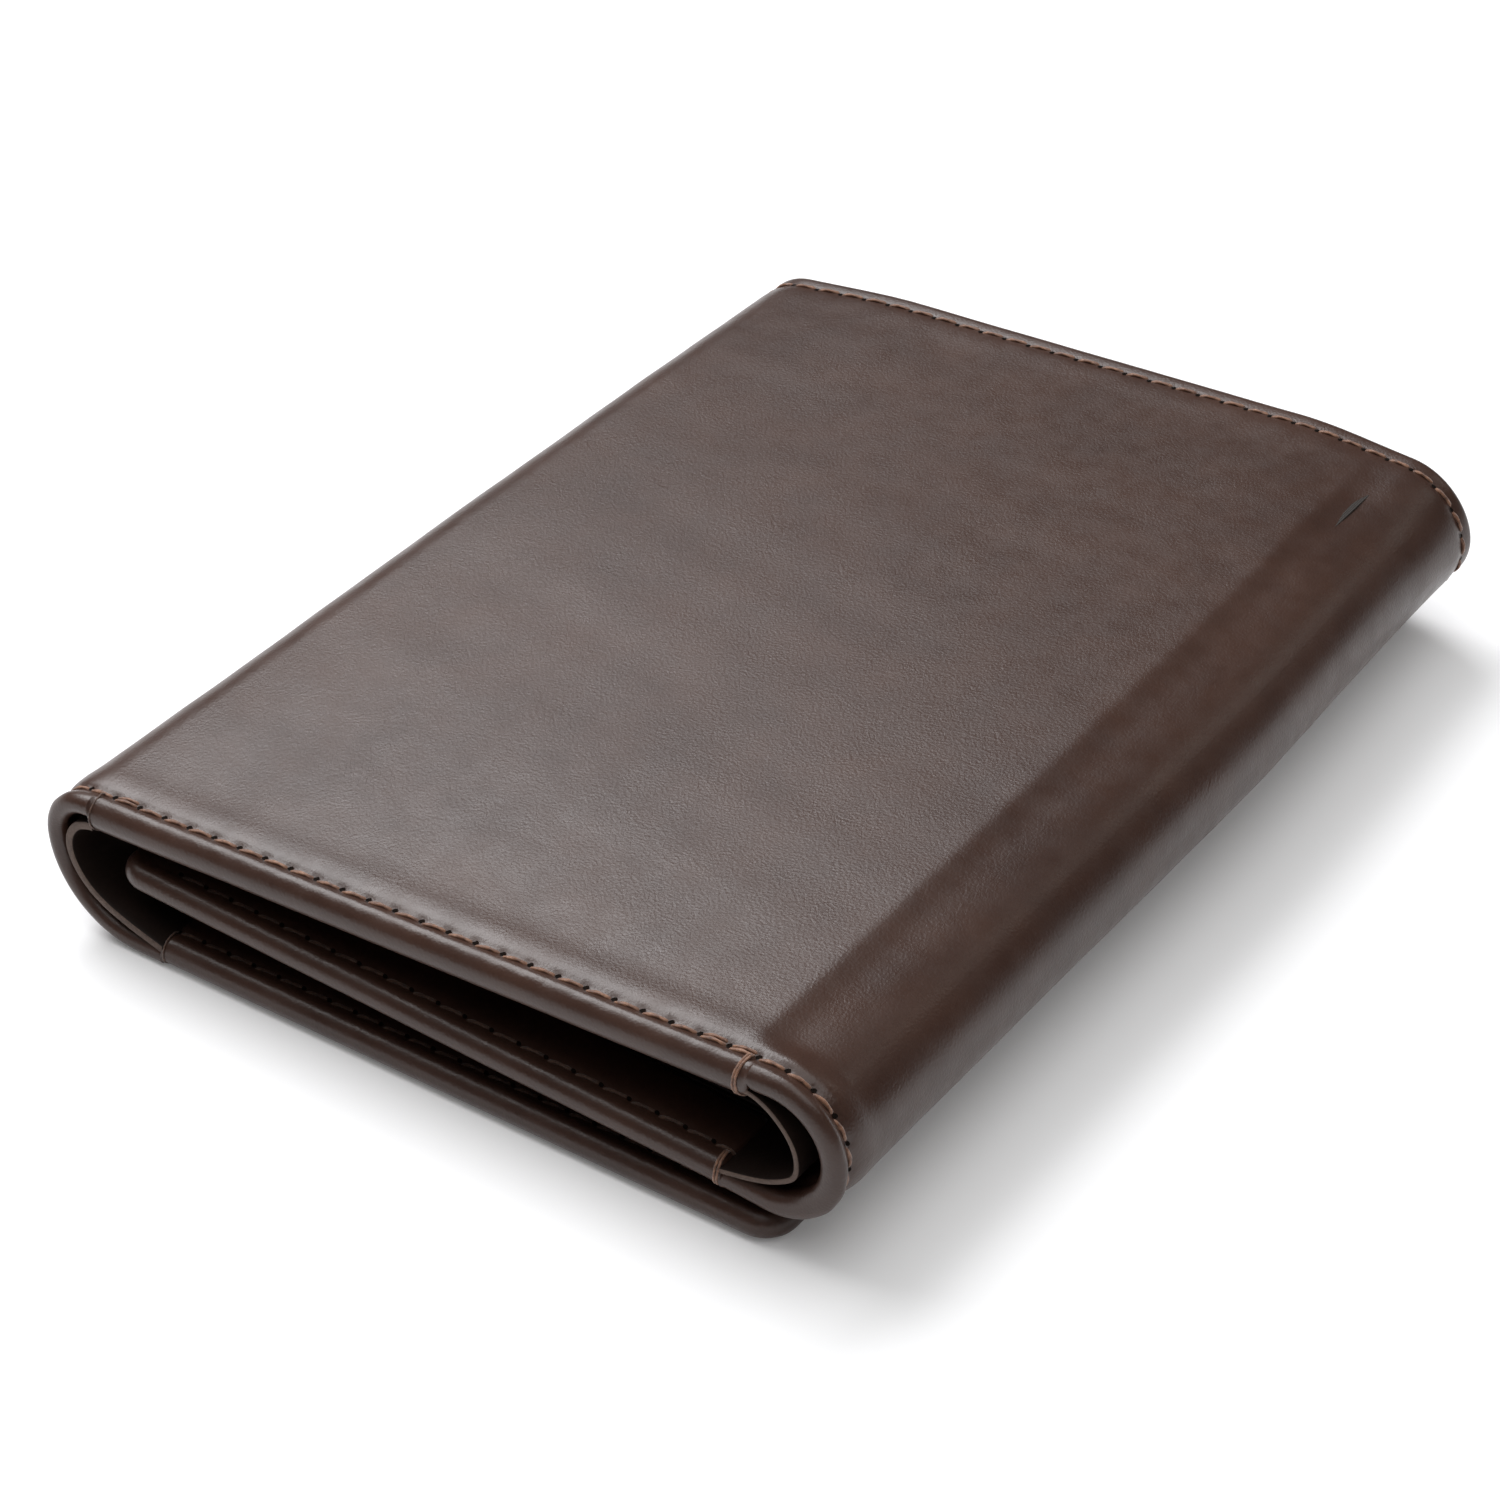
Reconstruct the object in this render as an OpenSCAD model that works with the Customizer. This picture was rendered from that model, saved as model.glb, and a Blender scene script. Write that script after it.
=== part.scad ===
// Trifold wallet, folded shut, as separate leather, lining, pocket and thread pieces.
// Units are millimetres. X runs from fold to fold, Y along the fold lines, Z up.
// The outer flap lies on z = 0, the inner flap is in the middle, the centre panel is on top.

/* [Overall size] */
// Size along the fold lines
height = 112; // [100:0.5:122]
// Flat length of the centre panel between its two folds
centre_length = 70; // [64:0.5:78]
// Rise of the centre panel towards the right fold, in degrees
centre_tilt = 2.5; // [0:0.1:4]
// Rise of the inner flap towards its free end, in degrees
inner_tilt = 2.6; // [0:0.1:3]
// Flat length of the inner flap from its fold to its free end
inner_length = 67; // [60:0.5:68]
// Flat length of the outer flap from its fold to its free end
outer_length = 66.5; // [62:0.5:68]

/* [Folds] */
// Outside radius of the left fold where it meets the centre panel
left_top_radius = 4.85; // [4:0.05:6]
// Outside radius of the left fold where it comes down to the outer flap
left_low_radius = 9.5; // [8:0.1:10]
// Outside radius of the right fold
right_radius = 6.8; // [6:0.1:7.5]
// Clearance between two neighbouring fold strips
strip_gap = 0.1; // [0.06:0.02:0.2]

/* [Shell leather] */
// Thickness of the single shell leather
skin = 0.9; // [0.7:0.05:1.2]
// Thickness of the turned hem where the leather lies double
hem = 1.7; // [1.4:0.05:2]
// Width of the turned hem
hem_width = 7.5; // [6:0.5:8]
// Thickness of the rolled edge of the centre panel
centre_edge = 3.3; // [3:0.05:3.6]
// Thickness of the rolled edge of the outer flap
outer_edge = 2.7; // [2.5:0.05:3]
// Thickness of the rolled edge of the inner flap
inner_edge = 2.5; // [2.3:0.05:2.7]
// Thickness of the hem next to the outer flap's divider
outer_far = 1.45; // [1.3:0.05:1.48]
// Thickness of the hem next to the inner flap's divider
inner_far = 1.3; // [1.2:0.05:1.32]
// Leather that the rolled edge turns under the stack
under = 0.8; // [0.6:0.05:0.9]
// Plan radius of the outer flap's free corners
outer_corner = 3.2; // [3.1:0.1:7]
// Plan radius of the inner flap's free corners
inner_corner = 2.7; // [2.7:0.1:7]

/* [Lining and pockets] */
// Thickness of the bill divider that loops inside each fold
divider = 0.5; // [0.3:0.05:0.6]
// Thickness of a card pocket leaf
leaf = 0.4; // [0.3:0.05:0.5]
// Height of each card pocket step
pocket_step = 11; // [8:0.5:14]

/* [Stitching] */
// Distance of the seam from the edge
seam_inset = 2.2; // [1.8:0.1:3]
// Spacing of the stitches
pitch = 2.75; // [2.5:0.05:3.2]
// Width of the thread
thread = 0.5; // [0.4:0.05:0.7]

/* [Hidden] */
$fn = 48;
half = height / 2;
left_angle = 90 + centre_tilt;
right_sweep = 180 + centre_tilt + inner_tilt;
right_step = right_sweep / 4;
left_ends = [left_angle + 14.5, left_angle + 51, 180, 218, 255.5];
left_z = left_low_radius;
span = left_top_radius * cos(left_angle) + centre_length * cos(centre_tilt)
     - right_radius * cos(left_angle);
left_x = -(span + right_radius - left_top_radius) / 2;
low_x = left_x + left_low_radius - left_top_radius;
right_x = left_x + span;
right_z = left_z + (left_top_radius - right_radius) * sin(left_angle)
        + centre_length * sin(centre_tilt);
low_angle = left_angle - right_sweep;
inner_x = right_x + right_radius * cos(low_angle);
inner_z = right_z + right_radius * sin(low_angle);
low_loop = 6.5;
top_loop = 2.45;
right_loop = 3.5;
top_loop_x = low_x - low_loop + top_loop;
thread_height = 0.35;
// Hairline between a panel and the half strip of its fold, so that each is a closed solid.
hairline = 0.03;
stitch = pitch - 0.6;
centre_from = 0.6;
centre_to = centre_length - 1.6;
inner_from = 4.1;
outer_from = 2.8;
pocket_foot = -half + hem_width + 0.2;
pocket_top = 30;

// Which node to draw

// Places for the three panels: local x along the panel, local z = 0 on its outside face.
module on_centre() {
  translate([left_x + left_top_radius * cos(left_angle), 0,
             left_z + left_top_radius * sin(left_angle)])
    rotate([0, -centre_tilt, 0])
      children();
}

module on_inner() {
  translate([inner_x, 0, inner_z])
    rotate([0, inner_tilt - 180, 0])
      children();
}

// The outer flap runs towards negative local x here, so it is mirrored to start at its fold.
module on_outer() {
  translate([low_x, 0, 0])
    mirror([0, 0, 1])
      children();
}

module about(x, z, from) {
  translate([x, 0, z])
    rotate([90, 0, 0])
      rotate([0, 0, from])
        children();
}

module along(from, to) {
  translate([from, 0, 0])
    rotate([90, 0, 90])
      linear_extrude(to - from)
        children();
}

// Shell leather with a turned, round-nosed hem at both ends, outside face at x = r.
module thin_section(r, fold = hem) {
  translate([r - skin, -half + fold / 2])
    square([skin, height - fold]);
  for (low = [-half + fold / 2, half - hem_width])
    translate([r - fold, low])
      square([fold, hem_width - fold / 2]);
  for (end = [-1, 1])
    translate([r - fold / 2, end * (half - fold / 2)])
      circle(d = fold);
}

// The same leather rolled over the whole stack at the near edge and hemmed alone at the far one.
module thick_section(edge) {
  difference() {
    union() {
      translate([-half + edge / 2, -edge])
        square([hem_width - edge / 2, edge]);
      translate([-half + edge / 2, -edge / 2])
        circle(d = edge);
    }
    translate([-half + 1, under - edge])
      square([hem_width, edge - under - skin]);
  }
  translate([-half + edge / 2, -skin])
    square([height - edge, skin]);
  translate([half - hem_width, -hem])
    square([hem_width - hem / 2, hem]);
  translate([half - hem / 2, -hem / 2])
    circle(d = hem);
}

module thin_panel(from, to, fold = hem) {
  along(from, to)
    mirror([1, -1])
      thin_section(0, fold);
}

module shell_arc(x, z, r, from, to) {
  about(x, z, from)
    rotate_extrude(angle = to - from)
      thin_section(r);
}

// Plan of a flap's end: square at the fold side, round at the free corners chosen.
module flap_plan(from, to, low, high, r, near_round, far_round) {
  translate([from, low])
    square([to - from - r, high - low]);
  translate([to - r - 0.01, low + (near_round ? r : 0)])
    square([r + 0.01, high - low - (near_round ? r : 0) - (far_round ? r : 0)]);
  if (near_round) {
    translate([to - r, low + r])
      intersection() {
        circle(r);
        translate([-0.01, -r])
          square([r + 0.01, r + 0.01]);
      }
  }
  if (far_round) {
    translate([to - r, high - r])
      intersection() {
        circle(r);
        translate([-0.01, -0.01])
          square([r + 0.01, r + 0.01]);
      }
  }
}

// Round nose that runs along one long edge, round the corner and along the free end.
module flap_nose(from, to, side, edge, reach, corner) {
  scale([1, side, 1]) {
    translate([from, half - edge / 2, -edge / 2])
      rotate([0, 90, 0])
        cylinder(d = edge, h = to - corner - from);
    translate([to - corner, half - corner, -edge / 2])
      rotate_extrude(angle = 90)
        translate([corner - edge / 2, 0])
          circle(d = edge);
    translate([to - edge / 2, half - corner, -edge / 2])
      rotate([90, 0, 0])
        cylinder(d = edge, h = half - corner - reach);
  }
}

module flap_shell(from, to, edge, far, corner) {
  difference() {
    union() {
      translate([0, 0, -edge])
        linear_extrude(edge)
          flap_plan(from, to - edge / 2, -half + edge / 2, half - hem_width,
                    corner - edge / 2, true, false);
      flap_nose(from, to, -1, edge, -half + hem_width, corner);
    }
    translate([0, 0, under - edge])
      linear_extrude(edge - under - skin)
        flap_plan(from - 1, to - 1, -half + 1, half, corner - 1, true, false);
    translate([0, 0, -edge - 1])
      linear_extrude(edge + 1 - skin)
        flap_plan(from - 1, to - hem_width, -half + hem_width, half, 1, true, false);
  }
  translate([0, 0, -far])
    linear_extrude(far)
      flap_plan(from, to - far / 2, half - hem_width, half - far / 2,
                corner - far / 2, false, true);
  flap_nose(from, to, 1, far, half - hem_width, corner);
}

module sheet(from, to, low, high, top, thick, r) {
  translate([0, 0, -top - thick])
    linear_extrude(thick)
      flap_plan(from, to, low, high, r, true, true);
}

// A run of stitches on both faces: each is a short bar whose outside one starts at height top.
module stitch_row(from, to, inside, top) {
  count = floor((to - from) / pitch);
  for (i = [0 : count - 1]) {
    x = from + (i + 0.5) * (to - from) / count;
    for (z = [top, inside - thread_height])
      translate([x - stitch / 2, -thread / 2, z])
        cube([stitch, thread, thread_height]);
  }
}

module flap_seam(from, to, edge, far, top) {
  corner = 5;
  translate([0, seam_inset - half, 0])
    stitch_row(from, to - corner, -edge, top);
  translate([0, half - seam_inset, 0])
    stitch_row(from, to - corner, -far, top);
  translate([to - seam_inset, 0, 0])
    rotate([0, 0, 90])
      stitch_row(corner - half, half - hem_width - 1, -edge, top);
}

// Groove that takes the stitches of the face the wallet lies on.
module seam_groove(from, to) {
  corner = 5;
  wide = thread + 0.2;
  for (y = [seam_inset - half, half - seam_inset])
    translate([from + 0.4, y - wide / 2, -thread_height])
      cube([to - corner - from, wide, 1]);
  translate([to - seam_inset - wide / 2, corner - half, -thread_height])
    cube([wide, height - 2 * corner, 1]);
}

// Stitches that lie on the outside of a fold strip, near edge and far edge.
module fold_seam(x, z, r, from, to) {
  for (side = [-1, 1])
    about(x, z, from)
      rotate_extrude(angle = to - from)
        translate([r, side * (half - seam_inset) - thread / 2])
          square([thread_height, thread]);
}

// Thread wrapped over the rolled edge at the end of a seam.
module tack(x, edge) {
  tail = seam_inset - edge / 2 - thread / 2 - 0.05;
  along(x, x + 1)
    difference() {
      intersection() {
        union() {
          translate([-half + edge / 2, -edge / 2])
            circle(d = edge + 2 * 0.3);
          translate([-half + edge / 2, -edge - 0.3])
            square([tail, edge + 0.6]);
        }
        translate([-half - 1, -edge - 1])
          square([1 + edge / 2 + tail, edge + 2]);
      }
      translate([-half + edge / 2, -edge / 2])
        circle(d = edge);
      translate([-half + edge / 2, -edge])
        square([seam_inset + 1, edge]);
    }
}

// Seam down the side of a card pocket: one run of thread on each step of the leaves.
module pocket_seam(x, base) {
  runs = [pocket_foot, pocket_top - 2 * pocket_step, pocket_top - pocket_step, pocket_top];
  for (i = [0 : 2])
    translate([x - thread / 2, runs[i] + 0.6, -base - (3 - i) * (leaf + 0.02) - 0.3])
      cube([thread, runs[i + 1] - runs[i] - 1.2, 0.28]);
}

module card_pocket(from, to, base, level) {
  sheet(from, to, pocket_foot, pocket_top - level * pocket_step,
        base + 0.02 + level * (leaf + 0.02), leaf, 1);
}

// Half of the clearance between two strips, as an angle at radius r.
function trim(r) = strip_gap * 90 / (PI * r);

// Left fold: strips run between neighbouring angles of left_ends, two on each radius.
module left_shell_strip(k) {
  x = k < 2 ? left_x : low_x;
  r = k < 2 ? left_top_radius : left_low_radius;
  shell_arc(x, left_z, r, left_ends[k] + trim(r), left_ends[k + 1] - trim(r));
}

module loop_arc(x, z, r, from, to) {
  about(x, z, from)
    rotate_extrude(angle = to - from)
      translate([r - divider / 2, -half + 1.2])
        square([divider, height - 5.2]);
}

module left_divider_strip(k) {
  x = k < 2 ? top_loop_x : low_x;
  r = k < 2 ? top_loop : low_loop;
  loop_arc(x, left_z, r, left_ends[k] + trim(r), left_ends[k + 1] - trim(r));
}

module left_seam_strip(k) {
  x = k < 2 ? left_x : low_x;
  r = k < 2 ? left_top_radius : left_low_radius;
  fold_seam(x, left_z, r, left_ends[k] + 3, left_ends[k + 1] - 3);
}

// Right fold: hinge k is at left_angle - (k + 0.5) * right_step.
function right_hinge(k) = left_angle - (k + 0.5) * right_step;

module right_shell_strip(k) {
  shell_arc(right_x, right_z, right_radius,
            right_hinge(k + 1) + trim(right_radius), right_hinge(k) - trim(right_radius));
}

module right_divider_strip(k) {
  loop_arc(right_x, right_z, right_loop,
           right_hinge(k + 1) + trim(right_loop), right_hinge(k) - trim(right_loop));
}

module right_seam_strip(k) {
  fold_seam(right_x, right_z, right_radius, right_hinge(k + 1) + 3, right_hinge(k) - 3);
}

// Divider between two points of the profile, one above the other by the divider thickness.
module ramp(a, b, c, d) {
  translate([0, half - 4, 0])
    rotate([90, 0, 0])
      linear_extrude(height - 5.2)
        polygon([a, b, c, d]);
}

module outer_flap_shell() {
  color("#4a3530") {
    on_outer() {
      difference() {
        flap_shell(outer_from, outer_length, outer_edge, outer_far, outer_corner);
        seam_groove(outer_from, outer_length);
      }
      thin_panel(hairline, outer_from + 0.01, outer_far);
    }
    shell_arc(low_x, left_z, left_low_radius, left_ends[4] + trim(left_low_radius), 270);
  }
}

module left_fold_shell_1() {
  color("#4a3530")
    left_shell_strip(0);
}

module left_fold_shell_2() {
  color("#4a3530")
    left_shell_strip(1);
}

module left_fold_shell_3() {
  color("#4a3530")
    left_shell_strip(2);
}

module left_fold_shell_4() {
  color("#4a3530")
    left_shell_strip(3);
}

module centre_shell() {
  color("#4a3530") {
    on_centre() {
      thin_panel(hairline, centre_from + 0.01);
      along(centre_from, centre_to)
        thick_section(centre_edge);
      thin_panel(centre_to - 0.01, centre_length - hairline);
    }
    shell_arc(left_x, left_z, left_top_radius, left_angle, left_ends[0] - trim(left_top_radius));
    shell_arc(right_x, right_z, right_radius, right_hinge(0) + trim(right_radius), left_angle);
  }
}

module right_fold_shell_1() {
  color("#4a3530")
    right_shell_strip(0);
}

module right_fold_shell_2() {
  color("#4a3530")
    right_shell_strip(1);
}

module right_fold_shell_3() {
  color("#4a3530")
    right_shell_strip(2);
}

module inner_flap_shell() {
  color("#4a3530") {
    on_inner() {
      flap_shell(inner_from, inner_length, inner_edge, inner_far, inner_corner);
      thin_panel(hairline, inner_from + 0.01, inner_far);
    }
    shell_arc(right_x, right_z, right_radius, low_angle, right_hinge(3) - trim(right_radius));
  }
}

module outer_flap_divider() {
  color("#6b4f42") {
    on_outer()
      sheet(outer_from - 0.4, outer_length - 1.2, -half + 1.2, half - 4, 1.5, 0.38, 3.8);
    loop_arc(low_x, left_z, low_loop, left_ends[4] + trim(low_loop), 270);
    ramp([low_x - 0.01, left_z - low_loop + 0.25], [low_x - 0.01, left_z - low_loop - 0.25],
         [low_x + outer_from - 0.3, 1.5], [low_x + outer_from - 0.3, 1.88]);
  }
}

module left_fold_divider_1() {
  color("#6b4f42")
    left_divider_strip(0);
}

module left_fold_divider_2() {
  color("#6b4f42")
    left_divider_strip(1);
}

module left_fold_divider_3() {
  color("#6b4f42")
    left_divider_strip(2);
}

module left_fold_divider_4() {
  color("#6b4f42")
    left_divider_strip(3);
}

module centre_divider() {
  color("#6b4f42") {
    on_centre()
      sheet(0.3, centre_to, -half + 1.2, half - 4, 1.95, divider, 0.2);
    loop_arc(top_loop_x, left_z, top_loop, 95, left_ends[0] - trim(top_loop));
    ramp([right_x - 1.9, right_z + 4.76], [right_x - 1.9, right_z + 4.28],
         [right_x + (right_loop - 0.25) * cos(right_hinge(0) + 1),
          right_z + (right_loop - 0.25) * sin(right_hinge(0) + 1)],
         [right_x + (right_loop + 0.25) * cos(right_hinge(0) + 1),
          right_z + (right_loop + 0.25) * sin(right_hinge(0) + 1)]);
  }
}

module right_fold_divider_1() {
  color("#6b4f42")
    right_divider_strip(0);
}

module right_fold_divider_2() {
  color("#6b4f42")
    right_divider_strip(1);
}

module right_fold_divider_3() {
  color("#6b4f42")
    right_divider_strip(2);
}

module inner_flap_divider() {
  color("#6b4f42") {
    on_inner()
      sheet(inner_from - 0.4, inner_length - 1.2, -half + 1.2, half - 4, 1.35, 0.33, 3.8);
    ramp([inner_x - inner_from + 0.3, inner_z + 1.55], [inner_x - inner_from + 0.3, inner_z + 1.88],
         [right_x + (right_loop - 0.25) * cos(right_hinge(3) - 1),
          right_z + (right_loop - 0.25) * sin(right_hinge(3) - 1)],
         [right_x + (right_loop + 0.25) * cos(right_hinge(3) - 1),
          right_z + (right_loop + 0.25) * sin(right_hinge(3) - 1)]);
  }
}

module outer_flap_lining() {
  color("#3a302c")
    on_outer()
      sheet(outer_from + 0.4, outer_length - 1.2, -half + 1.2, half - hem_width - 0.2,
            skin + 0.02, 0.3, 3.8);
}

module centre_lining() {
  color("#3a302c")
    on_centre()
      sheet(centre_from + 0.4, centre_to - 0.4, -half + 1.2, half - hem_width - 0.2,
            skin + 0.02, 0.3, 0.2);
}

module inner_flap_lining() {
  color("#3a302c")
    on_inner()
      sheet(inner_from + 0.4, inner_length - 1.2, -half + 1.2, half - hem_width - 0.2,
            skin + 0.02, 0.28, 3.8);
}

module outer_card_pocket_back() {
  color("#523c34")
    on_outer()
      card_pocket(outer_from + 0.2, outer_length - hem_width - 0.2, 1.88, 0);
}

module outer_card_pocket_middle() {
  color("#523c34")
    on_outer()
      card_pocket(outer_from + 0.2, outer_length - hem_width - 0.2, 1.88, 1);
}

module outer_card_pocket_front() {
  color("#523c34")
    on_outer()
      card_pocket(outer_from + 0.2, outer_length - hem_width - 0.2, 1.88, 2);
}

module centre_card_pocket_back() {
  color("#523c34")
    on_centre()
      card_pocket(centre_from + 0.8, centre_to - 0.8, 1.95 + divider, 0);
}

module centre_card_pocket_middle() {
  color("#523c34")
    on_centre()
      card_pocket(centre_from + 0.8, centre_to - 0.8, 1.95 + divider, 1);
}

module centre_card_pocket_front() {
  color("#523c34")
    on_centre()
      card_pocket(centre_from + 0.8, centre_to - 0.8, 1.95 + divider, 2);
}

module inner_slip_pocket() {
  color("#523c34")
    on_inner()
      sheet(inner_from + 0.4, inner_length - hem_width - 0.2, pocket_foot, half - 12,
            1.7, 0.35, 1);
}

module id_window() {
  color("#cfd4d6", 0.4)
    on_inner()
      sheet(inner_from + 3, inner_length - hem_width - 3, pocket_foot + 3, half - 22,
            2.07, 0.2, 1);
}

module id_window_frame() {
  color("#523c34")
    on_inner()
      difference() {
        sheet(inner_from + 0.4, inner_length - hem_width - 0.2, pocket_foot, half - 20,
              2.29, 0.4, 1);
        translate([inner_from + 6, pocket_foot + 7, -4])
          cube([inner_length - hem_width - inner_from - 12, half - 28 - pocket_foot - 7, 3]);
      }
}

module outer_flap_seam() {
  color("#a8744c")
    on_outer()
      flap_seam(outer_from + 0.6, outer_length, outer_edge, outer_far, -thread_height);
}

module centre_near_seam() {
  color("#a8744c")
    on_centre()
      translate([0, seam_inset - half, 0])
        stitch_row(centre_from, centre_to, -centre_edge, 0);
}

module centre_far_seam() {
  color("#a8744c")
    on_centre()
      translate([0, half - seam_inset, 0])
        stitch_row(centre_from, centre_to, -hem, 0);
}

module inner_flap_seam() {
  color("#a8744c")
    on_inner()
      flap_seam(inner_from, inner_length, inner_edge, inner_far, 0);
}

module left_fold_seam_1() {
  color("#a8744c")
    left_seam_strip(0);
}

module left_fold_seam_2() {
  color("#a8744c")
    left_seam_strip(1);
}

module left_fold_seam_3() {
  color("#a8744c")
    left_seam_strip(2);
}

module left_fold_seam_4() {
  color("#a8744c")
    left_seam_strip(3);
}

module right_fold_seam_1() {
  color("#a8744c")
    right_seam_strip(0);
}

module right_fold_seam_2() {
  color("#a8744c")
    right_seam_strip(1);
}

module right_fold_seam_3() {
  color("#a8744c")
    right_seam_strip(2);
}

module outer_pocket_seam() {
  color("#a8744c")
    on_outer()
      pocket_seam(outer_from + 1, 1.88);
}

module centre_pocket_seam() {
  color("#a8744c")
    on_centre() {
      pocket_seam(centre_from + 3.4, 1.95 + divider);
      pocket_seam(centre_to - 3.4, 1.95 + divider);
    }
}

module inner_pocket_seam() {
  color("#a8744c")
    on_inner()
      translate([inner_from + 0.6 - thread / 2, pocket_foot + 1, -2.69 - 0.3])
        cube([thread, half - 22 - pocket_foot, 0.28]);
}

module outer_flap_tack() {
  color("#b98055")
    on_outer()
      intersection() {
        tack(outer_from + 0.1, outer_edge);
        translate([outer_from, -half - 1, -outer_edge - 1])
          cube([2, 6, outer_edge + 1]);
      }
}

module centre_left_tack() {
  color("#b98055")
    on_centre()
      tack(centre_from + 0.1, centre_edge);
}

module centre_right_tack() {
  color("#b98055")
    on_centre()
      tack(centre_to - 1.1, centre_edge);
}

module inner_flap_tack() {
  color("#b98055")
    on_inner()
      tack(inner_from + 0.1, inner_edge);
}

outer_flap_shell();
left_fold_shell_1();
left_fold_shell_2();
left_fold_shell_3();
left_fold_shell_4();
centre_shell();
right_fold_shell_1();
right_fold_shell_2();
right_fold_shell_3();
inner_flap_shell();
outer_flap_divider();
left_fold_divider_1();
left_fold_divider_2();
left_fold_divider_3();
left_fold_divider_4();
centre_divider();
right_fold_divider_1();
right_fold_divider_2();
right_fold_divider_3();
inner_flap_divider();
outer_flap_lining();
centre_lining();
inner_flap_lining();
outer_card_pocket_back();
outer_card_pocket_middle();
outer_card_pocket_front();
centre_card_pocket_back();
centre_card_pocket_middle();
centre_card_pocket_front();
inner_slip_pocket();
id_window();
id_window_frame();
outer_flap_seam();
centre_near_seam();
centre_far_seam();
inner_flap_seam();
left_fold_seam_1();
left_fold_seam_2();
left_fold_seam_3();
left_fold_seam_4();
right_fold_seam_1();
right_fold_seam_2();
right_fold_seam_3();
outer_pocket_seam();
centre_pocket_seam();
inner_pocket_seam();
outer_flap_tack();
centre_left_tack();
centre_right_tack();
inner_flap_tack();
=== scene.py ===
"""Looks for the trifold wallet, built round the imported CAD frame."""
import math
import random

import bpy
import numpy as np
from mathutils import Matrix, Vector


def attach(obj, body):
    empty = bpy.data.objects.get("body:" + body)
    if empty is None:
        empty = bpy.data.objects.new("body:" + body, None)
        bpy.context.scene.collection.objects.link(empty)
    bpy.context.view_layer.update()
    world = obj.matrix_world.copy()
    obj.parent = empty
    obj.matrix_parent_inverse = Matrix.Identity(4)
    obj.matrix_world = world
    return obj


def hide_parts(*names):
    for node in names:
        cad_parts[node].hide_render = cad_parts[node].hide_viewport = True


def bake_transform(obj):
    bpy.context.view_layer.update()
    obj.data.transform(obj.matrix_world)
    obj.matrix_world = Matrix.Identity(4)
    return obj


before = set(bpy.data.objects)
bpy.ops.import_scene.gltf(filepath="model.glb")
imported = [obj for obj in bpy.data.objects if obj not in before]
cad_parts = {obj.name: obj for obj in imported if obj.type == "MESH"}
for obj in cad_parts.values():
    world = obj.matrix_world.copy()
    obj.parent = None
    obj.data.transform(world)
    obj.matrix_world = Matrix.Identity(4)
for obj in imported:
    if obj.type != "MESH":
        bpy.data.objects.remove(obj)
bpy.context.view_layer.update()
MM = 0.001        # metres in a millimetre

# The wallet's own sizes, in millimetres, the same as in part.scad.
HALF = 56.0                                          # half the height, along the folds
TILT, FLAP = 2.5, 2.6                                # slopes of centre and inner panel, in degrees
RA, RB, RR = 4.85, 9.5, 6.8                          # left fold's two radii, right fold's radius
LEN_OUTER, LEN_CENTRE, LEN_INNER = 66.5, 70.0, 67.0  # panel lengths
SKIN, HEM, HEM_W = 0.9, 1.7, 7.5                     # leather, turned hem, width of the hem
CORNER_OUTER, CORNER_INNER = 3.2, 2.7                # free corners' radii
EDGE_OUTER, EDGE_CENTRE, EDGE_INNER = 2.7, 3.3, 2.5  # thickness of the rolled edges
SEAM, PITCH = 2.2, 2.75                              # seam's distance from the edge, stitch length

# How far the leather moves off its plain form, in millimetres.
GROOVE, GROOVE_UNDER, GROOVE_INSIDE = 0.28, 0.16, 0.16   # the seam's groove
PRICK, PRICK_INSIDE = 0.18, 0.1                          # the dimple at a needle hole
PUFF, PUFF_INSIDE, SWELL = 0.08, 0.05, 0.1               # the soft ridges beside the seam
FAR_SEAM = 0.35                                          # share of all that along the far edge
STEP_FROM, STEP_SLOPE, STEP_LIP = 3.3, 0.2, 0.14         # the step down before the right fold


def cosd(a):
    return math.cos(math.radians(a))


def sind(a):
    return math.sin(math.radians(a))


TOP = 90 + TILT
SWEEP = 180 + TILT + FLAP
SPAN = RA * cosd(TOP) + LEN_CENTRE * cosd(TILT) - RR * cosd(TOP)
AX = -(SPAN + RR - RA) / 2
BX = AX + RB - RA
RX = AX + SPAN
RZ = RB + (RA - RR) * sind(TOP) + LEN_CENTRE * sind(TILT)
LOW = TOP - SWEEP

# Distance along the shell's outside face, from the outer flap's free end to the inner flap's.
B1 = LEN_OUTER
B2 = B1 + RB * math.pi / 2
B3 = B2 + RA * math.radians(180 - TOP)
B4 = B3 + LEN_CENTRE
B5 = B4 + RR * math.radians(SWEEP)
B6 = B5 + LEN_INNER
STEP_OUTER = B1 - 2.8
STEP_LEFT = B3 + 0.6
STEP_RIGHT = B4 - 1.6
STEP_INNER = B5 + 4.1
HOLE0 = B3 - 0.8


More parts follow.
